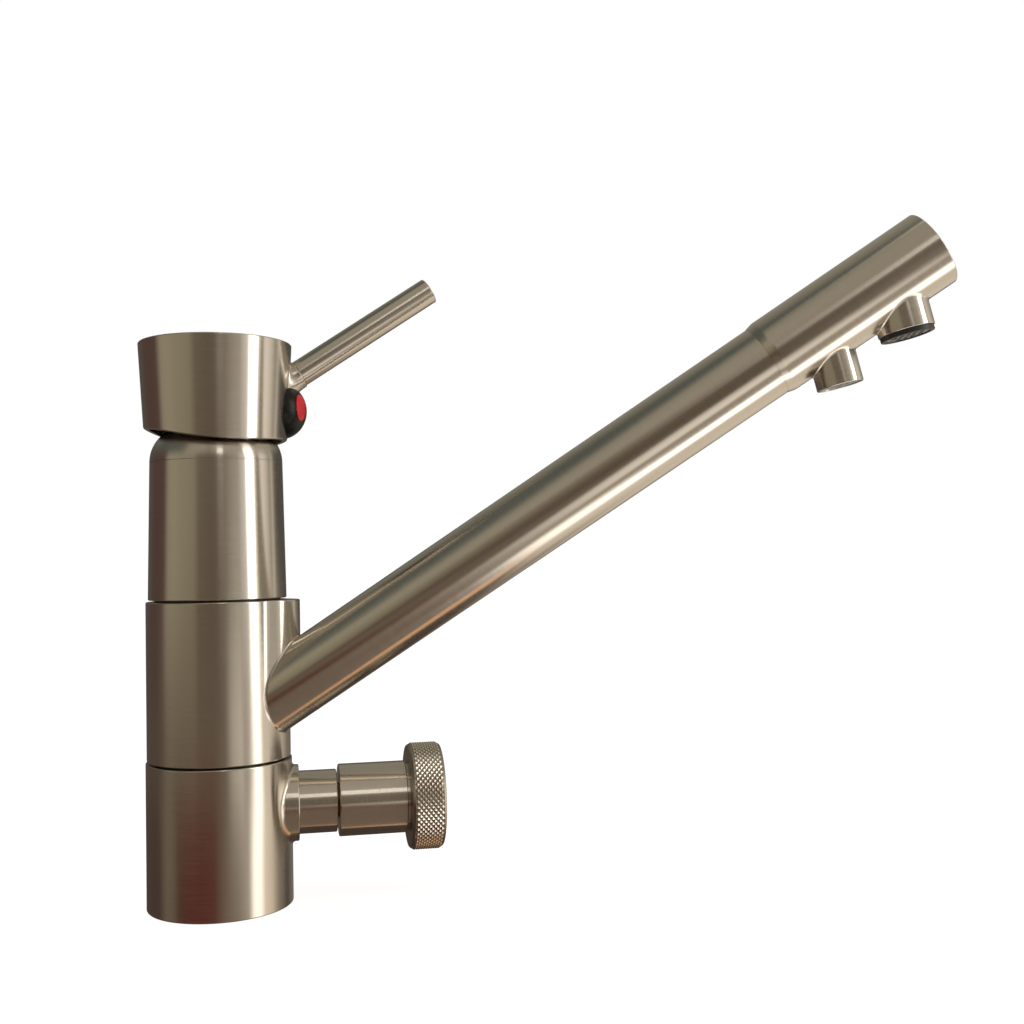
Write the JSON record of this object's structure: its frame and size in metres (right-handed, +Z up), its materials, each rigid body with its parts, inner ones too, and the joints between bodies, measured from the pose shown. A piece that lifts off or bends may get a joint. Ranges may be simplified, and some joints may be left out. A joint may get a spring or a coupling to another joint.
{
  "type": "three way filtered water tap",
  "caption": "Kitchen mixer tap with a top lever, a straight swivelling spout with two outlets and a side knob that opens the filtered water.",
  "frame": {"origin": "centre of the underside of the base, on the axis of the body", "axes": "+Z up the body, +X out of the filter valve and over the lever in its middle position; at rest the spout stands 19 degrees to the -Y side of +X"},
  "size_m": [0.2677, 0.1196, 0.229],
  "materials": {
    "brushed_nickel": "satin brushed, warm nickel tone",
    "knurled_nickel": "diamond knurled, warm nickel tone",
    "brass": "machined",
    "steel": "plain",
    "ceramic": "lapped",
    "rubber": "matt",
    "white_plastic": "moulded",
    "black_plastic": "glossy",
    "red_paint": "glossy",
    "blue_paint": "glossy"
  },
  "bodies": {
    "tap_body": {"base_body": "brushed_nickel", "base_gasket": "rubber", "swivel_core": "brass", "core_o_rings": "rubber", "lower_glide_ring": "black_plastic", "upper_glide_ring": "black_plastic", "upper_body": "brushed_nickel", "cartridge_base": "white_plastic", "cartridge_seals": "rubber", "cartridge_housing": "white_plastic", "fixed_disc": "ceramic", "cartridge_nut": "brass", "domed_ring": "brushed_nickel", "valve_housing": "brass", "valve_o_ring": "rubber", "valve_lip_seal": "rubber", "valve_fixed_disc": "ceramic", "neck_collar": "brushed_nickel"},
    "stem_turret": {"stem_holder": "white_plastic", "pivot_pin": "steel"},
    "mixing_disc": {"moving_disc": "ceramic", "disc_carrier": "white_plastic"},
    "handle": {"cartridge_stem": "brass", "handle_cap": "brushed_nickel", "lever_rod": "brushed_nickel", "grub_screw": "steel", "indicator_plug": "black_plastic", "hot_mark": "red_paint", "cold_mark": "blue_paint"},
    "filter_knob": {"valve_moving_disc": "ceramic", "valve_spindle": "brass", "spindle_o_rings": "rubber", "knob_sleeve": "brushed_nickel", "knurled_wheel": "knurled_nickel", "knob_screw": "steel", "knob_end_cap": "brushed_nickel"},
    "spout": {"spout_hub": "brushed_nickel", "spout_tube": "brushed_nickel", "filtered_water_tube": "white_plastic", "spout_head": "brushed_nickel", "head_end_disc": "brushed_nickel", "filter_elbow": "brass", "main_outlet": "brushed_nickel", "filtered_outlet": "brushed_nickel", "aerator_body": "black_plastic", "aerator_grid": "steel", "aerator_washer": "rubber", "filtered_outlet_grid": "white_plastic"}
  },
  "joints": [
    {"name": "spout_swivel", "type": "hinge", "parent": "tap_body", "child": "spout", "pos_m": [0, 0, 0.078], "axis": [0, 0, 1], "continuous": true},
    {"name": "handle_turn", "type": "hinge", "parent": "tap_body", "child": "stem_turret", "pos_m": [0, 0, 0.14], "axis": [0, 0, 1], "range_deg": [-50, 50]},
    {"name": "handle_lift", "type": "hinge", "parent": "stem_turret", "child": "handle", "pos_m": [0, 0, 0.14555], "axis": [0, -1, 0], "range_deg": [0, 25]},
    {"name": "disc_slide", "type": "slide", "parent": "stem_turret", "child": "mixing_disc", "axis": [1, 0, 0], "range_m": [0, 0.00534]},
    {"name": "filter_knob_turn", "type": "hinge", "parent": "tap_body", "child": "filter_knob", "pos_m": [0.05, 0, 0.0335], "axis": [1, 0, 0], "range_deg": [0, 90]}
  ],
  "couplings": [
    {"joint": "disc_slide", "follows": "handle_lift", "m_per_rad": 0.012204}
  ]
}
